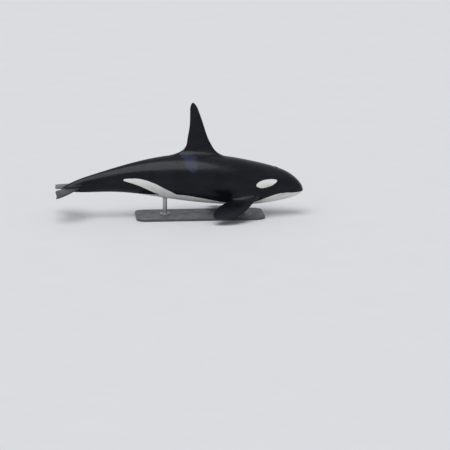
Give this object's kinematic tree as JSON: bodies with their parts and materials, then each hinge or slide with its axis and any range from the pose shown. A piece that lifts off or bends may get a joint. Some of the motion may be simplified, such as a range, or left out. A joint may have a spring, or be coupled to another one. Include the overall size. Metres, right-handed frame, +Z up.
{
  "type": "orca",
  "caption": "Life-size orca, a young male with a tall upright dorsal fin, in the shallow roll of a surfacing animal, held over a flat base by short rods.",
  "frame": {"origin": "middle of the underside of the stand's base, on the floor", "axes": "+X ahead, towards the animal's head; +Y to the animal's left; +Z up"},
  "size_m": [6.3707, 2.5844, 2.9477],
  "materials": {
    "skin_black": "smooth, wet and glossy, near-black with a cool sheen",
    "skin_white": "smooth and wet, off-white",
    "eye": "polished, very dark brown",
    "stand_plate": "satin dark grey paint",
    "stand_steel": "brushed"
  },
  "bodies": {
    "root": {"head": "skin_black", "lower_jaw": "skin_white", "shoulders": "skin_black", "chest": "skin_white", "back": "skin_black", "belly": "skin_white", "tail_stock": "skin_black", "dorsal_fin": "skin_black", "flipper_left": "skin_black", "flipper_right": "skin_black", "fluke_left": "skin_black", "fluke_right": "skin_black", "eye_left": "eye", "eye_right": "eye", "stand_base": "stand_plate", "stand_collar_front": "stand_steel", "stand_collar_rear": "stand_steel", "stand_rod_front": "stand_steel", "stand_rod_rear": "stand_steel"}
  },
  "joints": []
}
